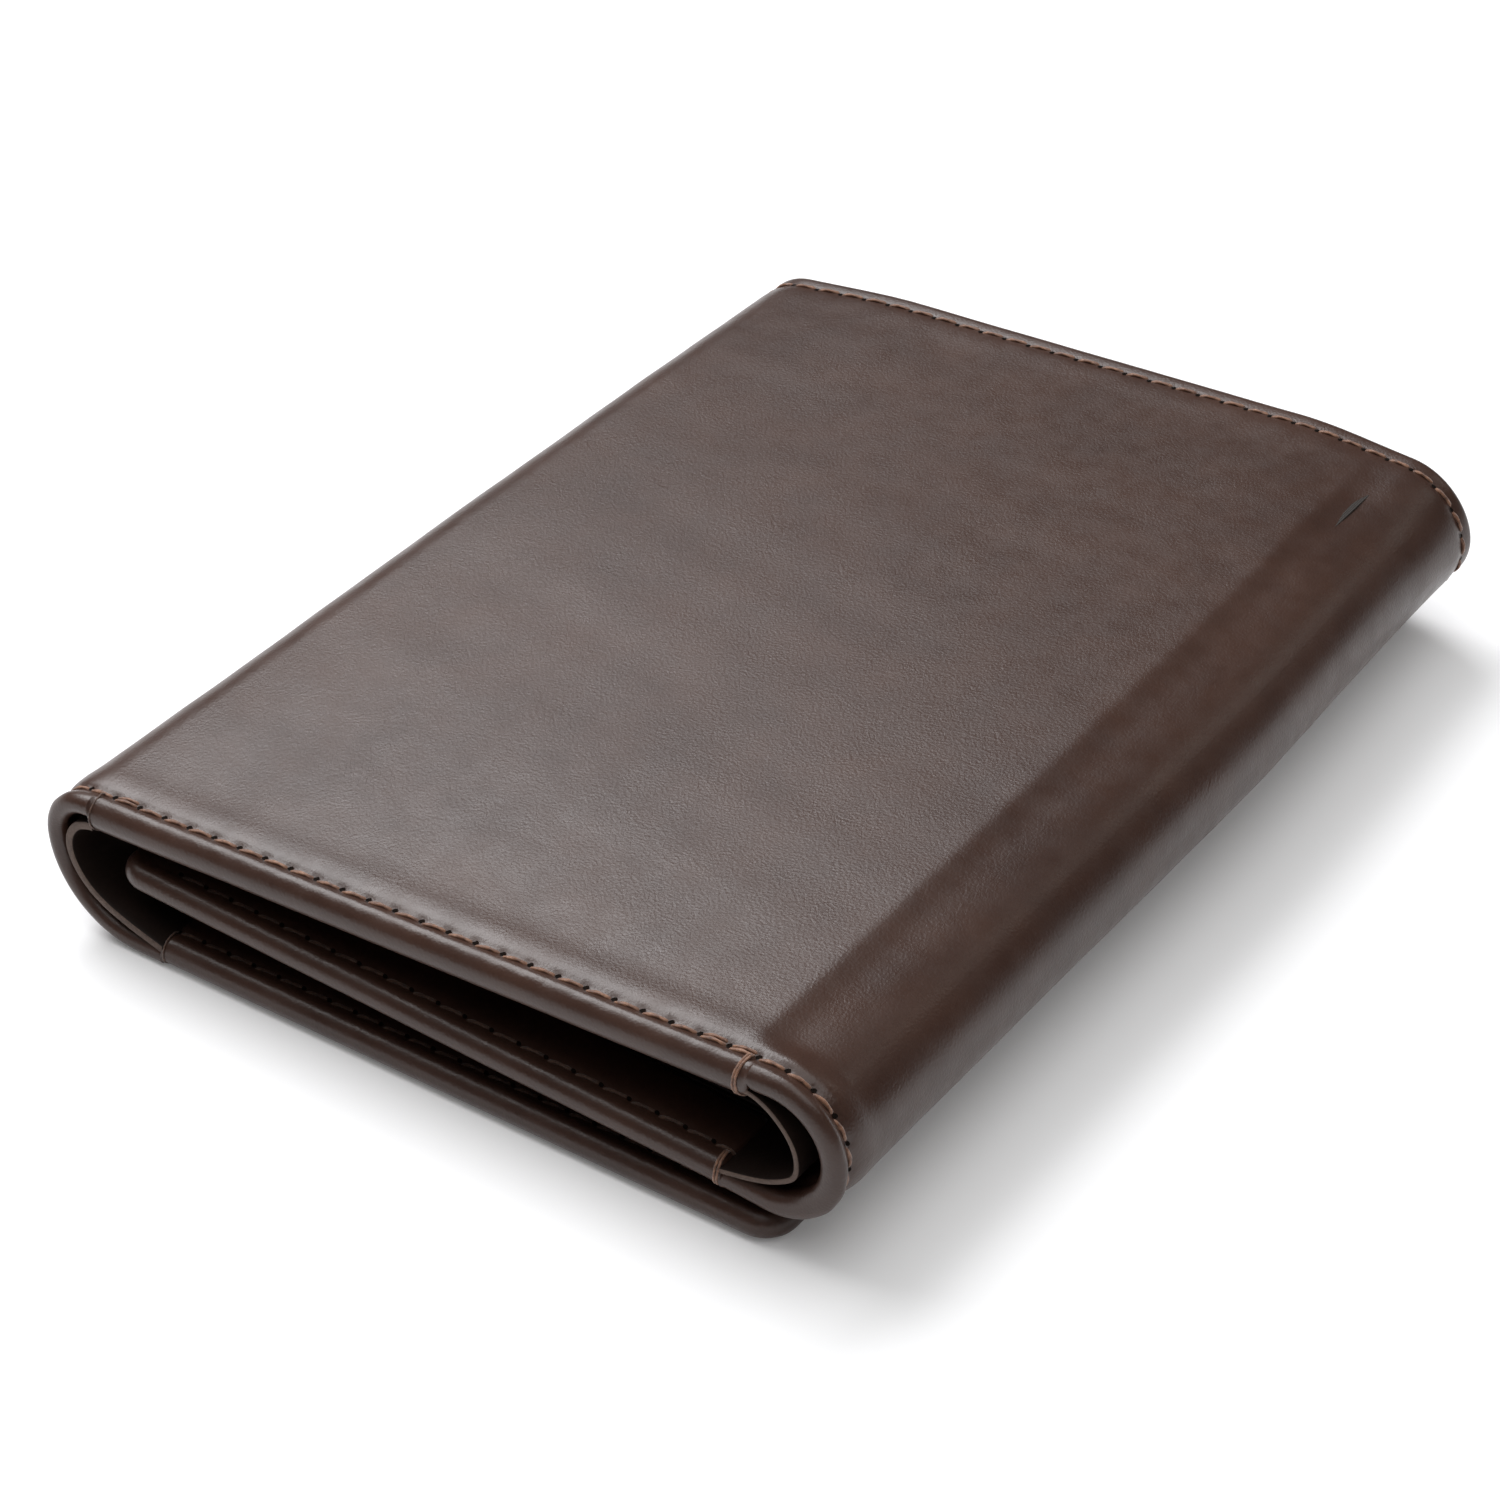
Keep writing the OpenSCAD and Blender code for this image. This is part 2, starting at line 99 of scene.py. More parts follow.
def spine(s):
    """Outside face of the shell at s: x, z and the outward normal's x and z."""
    s = np.asarray(s, float)
    a2 = np.radians(270) - (s - B1) / RB
    a3 = np.pi - (s - B2) / RA
    a5 = np.radians(TOP) - (s - B4) / RR
    parts = [s < B1, s < B2, s < B3, s < B4, s < B5]
    mx, mz = AX + RA * cosd(TOP), RB + RA * sind(TOP)
    ix, iz = RX + RR * cosd(LOW), RZ + RR * sind(LOW)
    x = np.select(parts, [BX + B1 - s, BX + RB * np.cos(a2), AX + RA * np.cos(a3),
                          mx + (s - B3) * cosd(TILT), RX + RR * np.cos(a5)],
                  ix - (s - B5) * cosd(FLAP))
    z = np.select(parts, [0 * s, RB + RB * np.sin(a2), RB + RA * np.sin(a3),
                          mz + (s - B3) * sind(TILT), RZ + RR * np.sin(a5)],
                  iz + (s - B5) * sind(FLAP))
    nx = np.select(parts, [0 * s, np.cos(a2), np.cos(a3), 0 * s - sind(TILT), np.cos(a5)],
                   0 * s + cosd(LOW))
    nz = np.select(parts, [0 * s - 1, np.sin(a2), np.sin(a3), 0 * s + cosd(TILT), np.sin(a5)],
                   0 * s + sind(LOW))
    return x, z, nx, nz


def place(s, y, t):
    """Points at s along the shell, y along the folds and depth t under the outside face."""
    s, y, t = np.broadcast_arrays(s, y, t)
    x, z, nx, nz = spine(s)
    return np.stack([x - nx * t, y, z - nz * t], -1)


def smooth(a, b, v):
    """0 where v is past a, 1 where it is past b, and smooth between."""
    k = np.clip((v - a) / (b - a), 0, 1)
    return k * k * (3 - 2 * k)


def ease(v, width):
    """Zero for v below 0 and v above it, with a rounded start of that width."""
    return width * np.logaddexp(0, v / width)


def ripple(s, y, size, seed):
    """Smooth noise from a few crossed waves, the same in every run."""
    rng = random.Random(seed)
    total = 0
    for _ in range(7):
        a = rng.uniform(0, 2 * math.pi)
        k = 2 * math.pi / (size * rng.uniform(0.6, 1.6))
        total = total + np.sin(k * (s * math.cos(a) + y * math.sin(a)) + rng.uniform(0, 6.3))
    return total / 7


def corner_at(s):
    """Radius of the free corner nearest to s."""
    return np.where(s < B6 / 2, CORNER_OUTER, CORNER_INNER)


def inset(s, y):
    """Distance in from the shell's outline, which is round at the four free corners."""
    r = corner_at(s)
    q = np.minimum(s, B6 - s)
    a, b = q - r, HALF - r - np.abs(y)
    d = np.minimum(q, HALF - np.abs(y))
    return np.where((a < 0) & (b < 0), r - np.hypot(a, b), d)


def shoulder(q):
    """The rounded end of a roll, which is full 0.7 mm in."""
    return np.sqrt(1 - (1 - np.clip(q / 0.7, 0, 1)) ** 2)


def edge_at(s, y):
    """Thickness of the edge: a thick roll on the panels, a thin hem in the folds and far side."""
    centre = np.minimum(shoulder(s - STEP_LEFT), shoulder(STEP_RIGHT - s))
    right_fold = np.minimum(shoulder(s - STEP_RIGHT), shoulder(STEP_INNER - s))
    left_fold = np.minimum(shoulder(s - STEP_OUTER), shoulder(STEP_LEFT - s))
    roll = (EDGE_OUTER - HEM) * shoulder(STEP_OUTER - s)
    roll = roll + (EDGE_CENTRE - HEM) * centre
    roll = roll + (EDGE_INNER - HEM) * shoulder(s - STEP_INNER)
    roll = roll + 0.5 * right_fold
    roll = roll + 0.15 * left_fold
    return HEM + roll * (1 - smooth(HALF - HEM_W - 0.5, HALF - HEM_W, y))


def from_hole(v, start):
    """Distance along a seam to the nearest needle hole."""
    return (v - start + PITCH / 2) % PITCH - PITCH / 2


def faces_at(s, y):
    """Depth of the outside and the inside face of the shell."""
    d = np.maximum(inset(s, y), 0)
    e = edge_at(s, y)
    h = np.sqrt(np.maximum(0, (e / 2) ** 2 - np.maximum(0, e / 2 - d) ** 2))
    top = e / 2 - h
    hem = e / 2 + h
    low = hem + (SKIN - hem) * smooth(HEM_W - 0.4, HEM_W, d)
    q = np.minimum(s, B6 - s)
    along_end = q < HALF - np.abs(y)
    side = np.where(along_end, from_hole(y, 0), from_hole(s, HOLE0))
    line = d - SEAM
    draw = np.exp(-(line / 0.6) ** 2)
    prick = np.exp(-((line - 0.12) / 0.42) ** 2 - (side / 0.3) ** 2)
    puff = np.exp(-((d - 1.0) / 0.55) ** 2) * (0.7 - 0.3 * np.cos(2 * np.pi * side / PITCH))
    swell = np.exp(-((d - 4.2) / 1.5) ** 2)
    keep = np.clip(d / 0.8, 0, 1)
    # The outer flap's outside lies on the table, so it has a deeper groove and no bumps.
    under = smooth(B1 + 3.0, B1, s)
    # The near edge of the right fold bulges out past its seam.
    bulge = smooth(B4 - 2, B4 + 4, s) * smooth(B5 + 4, B5 - 2, s) * smooth(0, -20, y)
    pull = 0.3 * np.exp(-((d - 2.4) / 1.5) ** 2) - 0.25 * np.exp(-((d - 0.6) / 0.8) ** 2)
    pull = pull * bulge
    seam = 1 - (1 - FAR_SEAM) * smooth(0, 20, y) * ~along_end
    relief = (GROOVE + GROOVE_UNDER * under) * draw + PRICK * prick - PUFF * puff - SWELL * swell
    top = top + seam * keep * relief
    # The leather steps down off the pocket stack just before the right fold.
    v = s - B4 + STEP_FROM
    step = STEP_SLOPE * (ease(v, 0.22) - ease(v - 3.9, 0.45))
    step = step + STEP_LIP * (ease(v, 0.2) - ease(v - 1.7, 0.3))
    step = step * smooth(B4 + 12, B4 + 1.5, s)
    step = step * smooth(2.6, 6.0, HALF + y) * smooth(2.6, 13, HALF - y)
    top = top + pull + step
    relief = GROOVE_INSIDE * draw + PRICK_INSIDE * prick - PUFF_INSIDE * puff
    low = low - keep * relief * (d < HEM_W - 0.5)
    drift = 0.1 * ripple(s, y, 40, 3) + 0.012 * ripple(s, y, 11, 5)
    drift = drift * smooth(1.0, 6.0, d) + 0.05 * ripple(s, y, 14, 8)
    drift = drift * (1 - under)
    top = np.where(under > 0, np.maximum(top, 0), top)
    return top + drift, low + drift + step


def settle(points):
    """The two far corners have sunk and pulled in a little with use."""
    p = np.array(points, float)
    x, y, z = p.T
    right, left = smooth(20, 42, x), smooth(-24, -41, x)
    far = smooth(28, HALF, y)
    high = smooth(3, 14, z)
    return np.stack([x - 1.6 * smooth(8, HALF, y) * smooth(4, 40, x),
                     y - far * (1.2 * right + 0.8 * left),
                     z - far * high * (1.1 * right + 0.5 * left)], -1)


def new_object(name, verts, faces, mats, picks=None, rest=None):
    """A piece from points in millimetres. rest is the place that its texture is read from."""
    mesh = bpy.data.meshes.new(name)
    mesh.from_pydata((settle(verts) * MM).tolist(), [], faces)
    for m in mats:
        mesh.materials.append(m)
    if picks is not None:
        mesh.polygons.foreach_set("material_index", np.asarray(picks, np.int32))
    mesh.polygons.foreach_set("use_smooth", np.ones(len(mesh.polygons), bool))
    if rest is not None:
        attribute = mesh.attributes.new("rest", "FLOAT_VECTOR", "POINT")
        attribute.data.foreach_set("vector", np.asarray(rest, np.float32).ravel())
    mesh.validate()
    mesh.update()
    obj = bpy.data.objects.new(name, mesh)
    bpy.context.scene.collection.objects.link(obj)
    return obj


# ---------------------------------------------------------------- materials

class Nodes:
    """A short way to write a node tree."""

    def __init__(self, name):
        self.mat = bpy.data.materials.new(name)
        self.mat.use_nodes = True
        self.tree = self.mat.node_tree
        self.tree.nodes.clear()
        self.out = self.add("ShaderNodeOutputMaterial")
        self.bsdf = self.add("ShaderNodeBsdfPrincipled")
        self.link(self.bsdf.outputs[0], self.out.inputs[0])

    def add(self, kind, **values):
        node = self.tree.nodes.new(kind)
        for key, value in values.items():
            if hasattr(node, key):
                setattr(node, key, value)
            else:
                node.inputs[key.replace("_", " ")].default_value = value
        return node

    def link(self, a, b):
        self.tree.links.new(a, b)

    def coords(self, scale=(1, 1, 1), own=False):
        mapping = self.add("ShaderNodeMapping")
        mapping.inputs["Scale"].default_value = scale
        if own:
            source = self.add("ShaderNodeTexCoord").outputs["Object"]
        else:
            source = self.add("ShaderNodeAttribute", attribute_name="rest").outputs["Vector"]
        self.link(source, mapping.inputs["Vector"])
        return mapping.outputs[0]

    def noise(self, vector, scale, detail=4.0, rough=0.55, distortion=0.0):
        n = self.add("ShaderNodeTexNoise", Scale=scale, Detail=detail, Roughness=rough,
                     Distortion=distortion)
        self.link(vector, n.inputs["Vector"])
        return n.outputs["Fac"]

    def cells(self, vector, scale, feature="F1"):
        n = self.add("ShaderNodeTexVoronoi", feature=feature, Scale=scale)
        self.link(vector, n.inputs["Vector"])
        return n.outputs["Distance"]

    def ramp(self, fac, stops):
        r = self.add("ShaderNodeValToRGB")
        self.link(fac, r.inputs[0])
        while len(r.color_ramp.elements) < len(stops):
            r.color_ramp.elements.new(0.5)
        for element, (at, colour) in zip(r.color_ramp.elements, stops):
            element.position = at
            element.color = (*colour, 1) if len(colour) == 3 else colour
        return r.outputs[0]

    def math(self, kind, a, b=0.5):
        m = self.add("ShaderNodeMath", operation=kind)
        for i, v in enumerate((a, b)):
            if isinstance(v, (int, float)):
                m.inputs[i].default_value = v
            else:
                self.link(v, m.inputs[i])
        return m.outputs[0]

    def bump(self, height, distance, strength=1.0, under=None):
        b = self.add("ShaderNodeBump", Distance=distance * MM, Strength=strength)
        self.link(height, b.inputs["Height"])
        if under is not None:
            self.link(under, b.inputs["Normal"])
        return b.outputs[0]

    def warp(self, vector, scale, amount):
        n = self.add("ShaderNodeTexNoise", Scale=scale, Detail=2.0)
        self.link(vector, n.inputs["Vector"])
        sub = self.add("ShaderNodeVectorMath", operation="MULTIPLY_ADD")
        self.link(n.outputs["Color"], sub.inputs[0])
        sub.inputs[1].default_value = (amount,) * 3
        self.link(vector, sub.inputs[2])
        return sub.outputs[0]


def leather(name, dark, light, rough=(0.31, 0.4), grain=1.0, coat=0.05, shine=0.43):
    """Smooth waxed leather: fine pebbles, faint slanting creases and soft changes of tone."""
    n = Nodes(name)
    raw = n.coords()
    base = n.warp(raw, 0.6, 0.5)
    pebble = n.cells(base, 2.3, "DISTANCE_TO_EDGE")
    fine = n.cells(n.warp(raw, 2.5, 0.1), 3.6)
    turn = n.add("ShaderNodeVectorRotate", rotation_type="Z_AXIS", Angle=math.radians(-22))
    n.link(n.warp(raw, 0.25, 2.2), turn.inputs["Vector"])
    stretch = n.add("ShaderNodeMapping")
    stretch.inputs["Scale"].default_value = (1.5, 0.34, 1.0)
    n.link(turn.outputs[0], stretch.inputs["Vector"])
    crease = n.cells(stretch.outputs[0], 1.0, "DISTANCE_TO_EDGE")
    where = n.ramp(n.noise(raw, 0.11, 3.0), [(0.42, (0, 0, 0)), (0.62, (1, 1, 1))])
    soft = n.noise(raw, 0.16, 5.0, 0.6)
    patch = n.noise(raw, 0.03, 3.0, 0.5)
    tone = n.math("ADD", n.math("MULTIPLY", soft, 0.5), n.math("MULTIPLY", patch, 0.5))
    colour = n.ramp(tone, [(0.3, dark), (0.7, light)])
    pore = n.ramp(pebble, [(0.0, (0.7, 0.68, 0.67)), (0.1, (1, 1, 1))])
    mix = n.add("ShaderNodeMix", data_type="RGBA", blend_type="MULTIPLY")
    mix.inputs[0].default_value = 0.3 * grain
    n.link(colour, mix.inputs[6])
    n.link(pore, mix.inputs[7])
    n.link(mix.outputs[2], n.bsdf.inputs["Base Color"])
    gloss = n.add("ShaderNodeMapRange", To_Min=rough[0], To_Max=rough[1])
    gloss.inputs["From Min"].default_value = 0.35
    gloss.inputs["From Max"].default_value = 0.65
    n.link(n.noise(raw, 0.35, 5.0, 0.6), gloss.inputs["Value"])
    n.link(gloss.outputs[0], n.bsdf.inputs["Roughness"])
    n.bsdf.inputs["Specular IOR Level"].default_value = shine
    n.bsdf.inputs["Coat Weight"].default_value = coat
    n.bsdf.inputs["Coat Roughness"].default_value = 0.22
    line = n.math("SUBTRACT", 1.0, n.ramp(crease, [(0.0, (0, 0, 0)), (0.1, (1, 1, 1))]))
    line = n.math("MULTIPLY", line, n.math("ADD", 0.25, where))
    one = n.bump(n.math("MULTIPLY", line, -1.0), 0.0035 * grain)
    two = n.bump(n.ramp(pebble, [(0.0, (0, 0, 0)), (0.3, (1, 1, 1))]), 0.0025 * grain, 1.0, one)
    three = n.bump(fine, 0.013 * grain, 1.0, two)
    four = n.bump(n.noise(raw, 8.0, 3.0), 0.009 * grain, 1.0, three)
    n.link(four, n.bsdf.inputs["Normal"])
    return n.mat


def raw_edge():
    n = Nodes("raw_edge")
    raw = n.coords()
    n.link(n.ramp(n.noise(raw, 3.0, 5.0, 0.7),
                  [(0.3, (0.06, 0.036, 0.026)), (0.7, (0.125, 0.08, 0.06))]),
           n.bsdf.inputs["Base Color"])
    n.bsdf.inputs["Roughness"].default_value = 0.7
    n.link(n.bump(n.noise(raw, 8.0, 5.0, 0.7), 0.05), n.bsdf.inputs["Normal"])
    return n.mat


def thread_look(name, tone):
    n = Nodes(name)
    raw = n.coords()
    n.link(n.ramp(n.noise(raw, 2.2, 4.0, 0.6),
                  [(at, tuple(tone * c for c in colour)) for at, colour in (
                      (0.3, (0.085, 0.034, 0.018)),
                      (0.55, (0.21, 0.095, 0.05)),
                      (0.8, (0.38, 0.2, 0.12)))]),
           n.bsdf.inputs["Base Color"])
    n.bsdf.inputs["Roughness"].default_value = 0.5
    n.bsdf.inputs["Sheen Weight"].default_value = 0.25
    stretch = n.add("ShaderNodeMapping")
    stretch.inputs["Rotation"].default_value = (0, 0, math.radians(28))
    stretch.inputs["Scale"].default_value = (2.0, 9.0, 2.0)
    n.link(raw, stretch.inputs["Vector"])
    n.link(n.bump(n.noise(stretch.outputs[0], 1.6, 3.0), 0.05), n.bsdf.inputs["Normal"])
    return n.mat


# Near-black: painted shade for the depth of a needle hole.
def hole_look():
    n = Nodes("needle_hole_shade")
    raw = n.coords()
    n.link(n.ramp(n.noise(raw, 4.0), [(0.3, (0.004, 0.003, 0.0025)), (0.7, (0.012, 0.008, 0.006))]),
           n.bsdf.inputs["Base Color"])
    n.bsdf.inputs["Roughness"].default_value = 0.95
    n.bsdf.inputs["Specular IOR Level"].default_value = 0.05
    return n.mat


def cloth_look():
    n = Nodes("lining_cloth")
    raw = n.coords((1000,) * 3, own=True)
    weave = []
    for axis in (0, 1):
        wave = n.add("ShaderNodeTexWave", Scale=1.6, Distortion=0.3)
        wave.bands_direction = "XY"[axis]
        n.link(raw, wave.inputs["Vector"])
        weave.append(wave.outputs["Fac"])
    both = n.math("MAXIMUM", weave[0], weave[1])
    n.link(n.ramp(both, [(0.2, (0.012, 0.009, 0.008)), (0.9, (0.035, 0.028, 0.024))]),
           n.bsdf.inputs["Base Color"])
    n.bsdf.inputs["Roughness"].default_value = 0.85
    n.link(n.bump(both, 0.06), n.bsdf.inputs["Normal"])
    return n.mat


def film_look():
    n = Nodes("clear_film")
    raw = n.coords((1000,) * 3, own=True)
    n.bsdf.inputs["Base Color"].default_value = (0.9, 0.92, 0.93, 1)
    n.bsdf.inputs["Roughness"].default_value = 0.12
    n.bsdf.inputs["Transmission Weight"].default_value = 0.9
    n.bsdf.inputs["IOR"].default_value = 1.2
    n.bsdf.inputs["Alpha"].default_value = 0.4
    n.link(n.bump(n.noise(raw, 0.08, 2.0), 0.4), n.bsdf.inputs["Normal"])
    return n.mat


SHELL = leather("shell_leather", (0.035, 0.016, 0.011), (0.060, 0.0285, 0.019))
# Pocket leather is darker than the shell: partly its own colour, partly painted shade of the
# wallet's inside.
PANEL = leather("pocket_leather", (0.012, 0.0065, 0.005), (0.02, 0.011, 0.0085),
                grain=0.8, shine=0.3)
# Divider leather: dark, and darkened further to near black as painted shade of the wallet's inside.
SHADED_DIVIDER = leather("divider_leather", (0.010, 0.0058, 0.0045), (0.018, 0.0105, 0.008),
                  rough=(0.5, 0.62), grain=0.7, coat=0.02, shine=0.15)
RAW = raw_edge()
THREAD = thread_look("waxed_thread", 1.0)
# A darker copy of the thread: painted shade for the stitches on the inside faces. The thin tacks
# use it too.
SHADE = thread_look("dark_thread", 0.42)
HOLE = hole_look()


# ---------------------------------------------------------------- shell

def spread(*runs):
    """Sorted sample values from (start, stop, spacing) runs."""
    out = []
    for a, b, gap in runs:
        out += list(np.linspace(a, b, max(2, int(math.ceil((b - a) / gap)) + 1)))
    return np.unique(np.round(out, 4))


nose = [0, 0.015, 0.06, 0.14, 0.25, 0.4, 0.58, 0.8, 1.05, 1.35]
near = np.concatenate([nose, spread((1.65, 3.0, 0.16), (3.0, 5.2, 0.36), (5.2, HEM_W - 0.4, 0.8)),
                       [HEM_W - 0.2, HEM_W]])
COLS = np.concatenate([-HALF + near, spread((-HALF + 9, HALF - 9, 2.0)), (HALF - near)[::-1]])
inner_rows = np.arange(-60, 60 + 250 * 7) * (PITCH / 7) + HOLE0 - 150
inner_rows = inner_rows[(inner_rows > 1.5) & (inner_rows < B6 - 1.5)]
marks = [STEP_OUTER, STEP_LEFT, STEP_RIGHT, STEP_INNER]
MIDS = {
    "left_strip_4": B1 + RB * math.radians(270 - 236.75),
    "left_strip_3": B1 + RB * math.radians(270 - 199),
    "left_strip_2": B2 + RA * math.radians(180 - (TOP + 51 + 180) / 2),
    "left_strip_1": B2 + RA * math.radians(180 - (TOP + 32.75)),
    "right_strip_1": B4 + RR * math.radians(SWEEP / 4),
    "right_strip_2": B4 + RR * math.radians(SWEEP / 2),
    "right_strip_3": B4 + RR * math.radians(SWEEP * 3 / 4),
}
HINGES = {
    "outer": B1 + RB * math.radians(270 - 255.5),
    "left": B2 + RA * math.radians(180 - TOP - 14.5),
    "right": B4 + RR * math.radians(SWEEP / 8),
    "inner": B5 - RR * math.radians(SWEEP / 8),
}
extra = marks + list(MIDS.values())
for m in marks:
    extra += [m - 0.5, m - 0.25, m - 0.1, m + 0.1, m + 0.25, m + 0.5]
ends = list(nose) + [B6 - v for v in nose]
ROWS = np.unique(np.round(np.concatenate([ends, inner_rows, extra]), 4))
keep = np.concatenate([[True], np.diff(ROWS) > 0.03])
fixed = np.isin(ROWS, np.round(extra + ends, 4))
ROWS = ROWS[keep | fixed]

squeeze = np.minimum(ROWS, B6 - ROWS)
turn_r = corner_at(ROWS)
cut = turn_r - np.sqrt(np.maximum(0, turn_r ** 2 - (turn_r - squeeze) ** 2))
reach = np.where(squeeze < turn_r, HALF - cut, HALF)
S = ROWS[:, None] + 0 * COLS[None, :]
Y = COLS[None, :] * (reach / HALF)[:, None]
TOPS, LOWS = faces_at(S, Y)
OUTSIDE = place(S, Y, TOPS)
INSIDE = place(S, Y, LOWS)


def shell_piece(name, a, b):
    """The rows of the shell from a to b, closed at the near, far and free edges."""
    i0, i1 = int(np.argmin(abs(ROWS - a))), int(np.argmin(abs(ROWS - b)))
    rows, cols = i1 - i0 + 1, len(COLS)
    verts = np.concatenate([OUTSIDE[i0:i1 + 1].reshape(-1, 3), INSIDE[i0:i1 + 1].reshape(-1, 3)])
    rest = np.concatenate([
        np.stack([S, Y, TOPS], -1)[i0:i1 + 1].reshape(-1, 3),
        np.stack([S, Y, LOWS], -1)[i0:i1 + 1].reshape(-1, 3)])
    top = np.arange(rows * cols).reshape(rows, cols)
    low = top + rows * cols
    low[:, 0], low[:, -1] = top[:, 0], top[:, -1]
    if i0 == 0:
        low[0] = top[0]
    if i1 == len(ROWS) - 1:
        low[-1] = top[-1]
    up = np.stack([top[:-1, :-1], top[1:, :-1], top[1:, 1:], top[:-1, 1:]], -1).reshape(-1, 4)
    down = np.stack([low[:-1, :-1], low[:-1, 1:], low[1:, 1:], low[1:, :-1]], -1).reshape(-1, 4)
    faces = []
    for f in np.concatenate([up, down]).tolist():
        g = [v for k, v in enumerate(f) if v != f[k - 1]]
        if len(g) > 2:
            faces.append(g)
    used = np.unique(np.concatenate([top.ravel(), low.ravel()]))
    index = -np.ones(len(verts), int)
    index[used] = np.arange(len(used))
    faces = [[int(index[v]) for v in f] for f in faces]
    return new_object(name, verts[used], faces, [SHELL], rest=rest[used])


def bend(obj, start, end):
    """Bakes a piece's transform into its mesh; it does not bend it, and start and end are not used.
    """
    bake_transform(obj)


def outside_point(s):
    """The point of the outside face at s, half way along the folds."""
    return place(np.array(s), np.array(0.0), np.array(0.0))


# Each fold piece runs from the middle of one body to the middle of the next: the two bodies, the
# run of the shell that it covers, and a run handed to bend, which does not use it.
FOLDS = [
    ("outer_flap", "left_strip_4", STEP_OUTER, MIDS["left_strip_4"],
     2 * HINGES["outer"] - MIDS["left_strip_4"], MIDS["left_strip_4"]),
]
for one, two in (("left_strip_4", "left_strip_3"), ("left_strip_3", "left_strip_2"),
                 ("left_strip_2", "left_strip_1")):
    FOLDS.append((one, two, MIDS[one], MIDS[two], MIDS[one], MIDS[two]))
FOLDS += [
    ("left_strip_1", "centre", MIDS["left_strip_1"], STEP_LEFT,
     MIDS["left_strip_1"], 2 * HINGES["left"] - MIDS["left_strip_1"]),
    ("centre", "right_strip_1", STEP_RIGHT, MIDS["right_strip_1"],
     2 * HINGES["right"] - MIDS["right_strip_1"], MIDS["right_strip_1"]),
]
for one, two in (("right_strip_1", "right_strip_2"), ("right_strip_2", "right_strip_3")):
    FOLDS.append((one, two, MIDS[one], MIDS[two], MIDS[one], MIDS[two]))
FOLDS.append(
    ("right_strip_3", "inner_flap", MIDS["right_strip_3"], STEP_INNER,
     MIDS["right_strip_3"], 2 * HINGES["inner"] - MIDS["right_strip_3"]))
STRIP_NODE = {"left_strip_%d" % k: "left_fold_%%s_%d" % k for k in (1, 2, 3, 4)}
STRIP_NODE.update({"right_strip_%d" % k: "right_fold_%%s_%d" % k for k in (1, 2, 3)})

PANELS = [("outer_flap", 0.0, STEP_OUTER), ("centre", STEP_LEFT, STEP_RIGHT),
          ("inner_flap", STEP_INNER, B6)]
for body, a, b in PANELS:
    piece = shell_piece("%s_leather" % body, a, b)
    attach(piece, body)
    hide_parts("%s_shell" % body)

gone = set()
for k, (one, two, a, b, start, end) in enumerate(FOLDS):
    piece = shell_piece("fold_leather_%d" % (k + 1), a, b)
    bend(piece, outside_point(start), outside_point(end))
    for body in (one, two):
        if body in STRIP_NODE and body not in gone:
            gone.add(body)
            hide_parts(STRIP_NODE[body] % "shell")


# ---------------------------------------------------------------- thread

def tube(path, side, radius, twist=0.0, around=8):
    """A thread along path. side is a direction across it; the section is two strands, twisted."""
    path = np.asarray(path, float)
    run = np.gradient(path, axis=0)
    run /= np.linalg.norm(run, axis=1)[:, None]
    up = np.asarray(side, float) - run * np.sum(run * side, 1)[:, None]
    up /= np.linalg.norm(up, axis=1)[:, None]
    across = np.cross(run, up)
    verts, faces = [], []
    count = len(path)
    for i in range(count):
        end = min(i, count - 1 - i)
        size = radius * (0.55 if end == 0 else 1.0)
        for j in range(around):
            a = 2 * math.pi * j / around
            lobe = 1 + 0.16 * math.cos(2 * (a - twist * i))
            off = up[i] * math.cos(a) * 0.85 + across[i] * math.sin(a)
            verts.append(path[i] + size * lobe * off)
    for i in range(count - 1):
        for j in range(around):
            a, b = i * around + j, i * around + (j + 1) % around
            faces.append([a, b, b + around, a + around])
    faces.append(list(range(around))[::-1])
    faces.append([(count - 1) * around + j for j in range(around)])
    return np.array(verts), faces


THREAD_PICK, HOLE_PICK, SHADE_PICK = 0, 1, 2      # a pile's materials


class Pile:
    """Collects thread and needle holes for one piece."""

    def __init__(self):
        self.verts, self.faces, self.picks, self.rest, self.count = [], [], [], [], 0

    def put(self, verts, faces, pick, rest):
        self.verts.append(verts)
        self.faces += [[v + self.count for v in f] for f in faces]
        self.picks += [pick] * len(faces)
        self.rest.append(rest)
        self.count += len(verts)

    def make(self, name):
        return new_object(name, np.concatenate(self.verts), self.faces, [THREAD, HOLE, SHADE],
                          self.picks, np.concatenate(self.rest))


def on_shell(s, y, lift, inside=False):
    """A point that stands lift above the shell's outside or inside face, and that face's normal."""
    top, low = faces_at(s, y)
    depth = low + lift if inside else top - lift
    if not inside:
        # Thread under the outer flap stays off the table.
        depth = np.where(s < B1 + 2, np.maximum(depth, 0.2), depth)
    _, _, nx, nz = spine(s)
    n = np.stack([nx, 0 * nx, nz], -1) * (-1 if inside else 1)
    return place(s, y, depth), n


jitter = random.Random(11)


